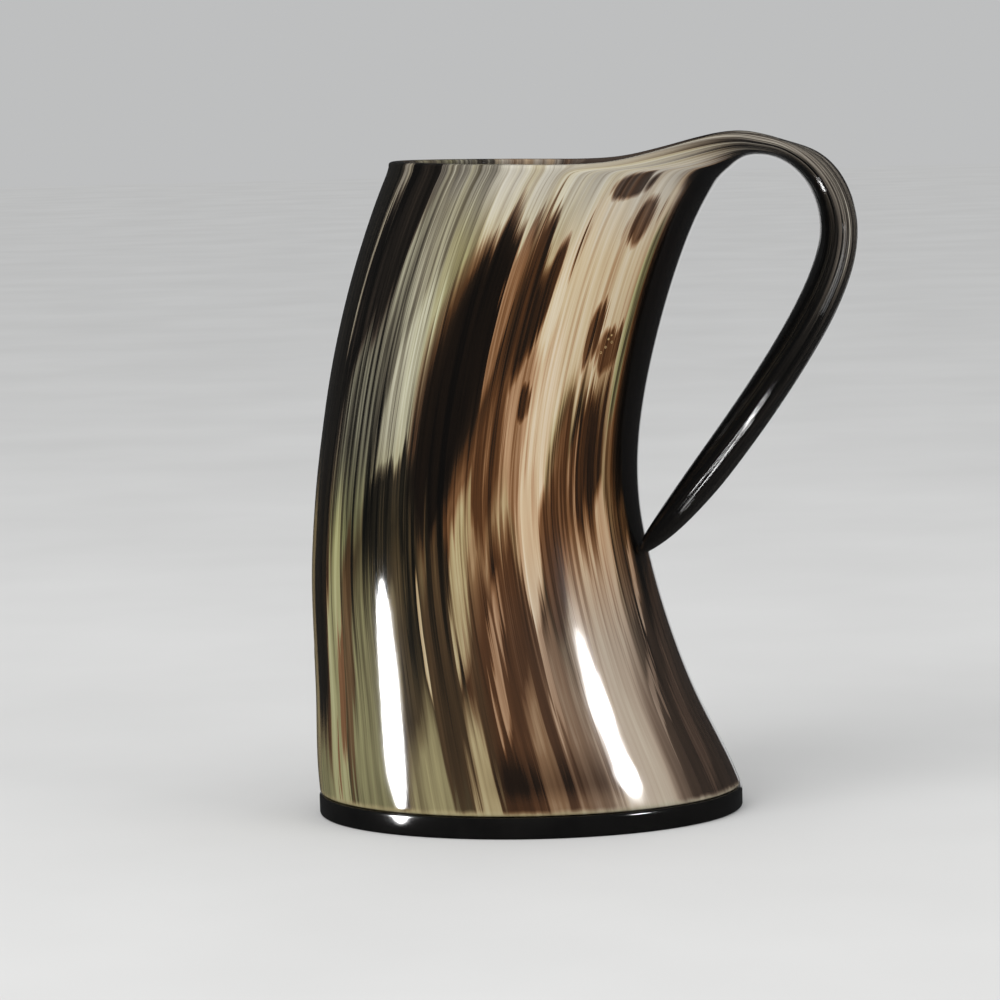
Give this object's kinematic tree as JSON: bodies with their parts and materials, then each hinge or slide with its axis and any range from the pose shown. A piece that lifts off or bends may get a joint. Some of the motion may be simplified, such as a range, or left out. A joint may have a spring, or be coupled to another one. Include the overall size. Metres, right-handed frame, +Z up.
{
  "type": "horn drinking cup",
  "caption": "Oval drinking cup of polished natural horn on a black plate, its wall running on past the rim and bent over into a looped handle.",
  "frame": {"origin": "centre of the base plate's underside, on the table", "axes": "+Z up out of the mouth, +X from the body towards the handle, +Y across the cup"},
  "size_m": [0.1236, 0.0744, 0.1506],
  "materials": {
    "horn": "polished and lacquered, streaked from cream to black-brown",
    "base_plate": "high gloss black",
    "floor_plug": "oiled",
    "floor_seal": "glossy, honey-coloured",
    "tip_glue": "glossy, dark"
  },
  "bodies": {
    "root": {"horn": "horn", "base_plate": "base_plate", "floor_plug": "floor_plug", "floor_seal": "floor_seal", "tip_glue": "tip_glue"}
  },
  "joints": []
}
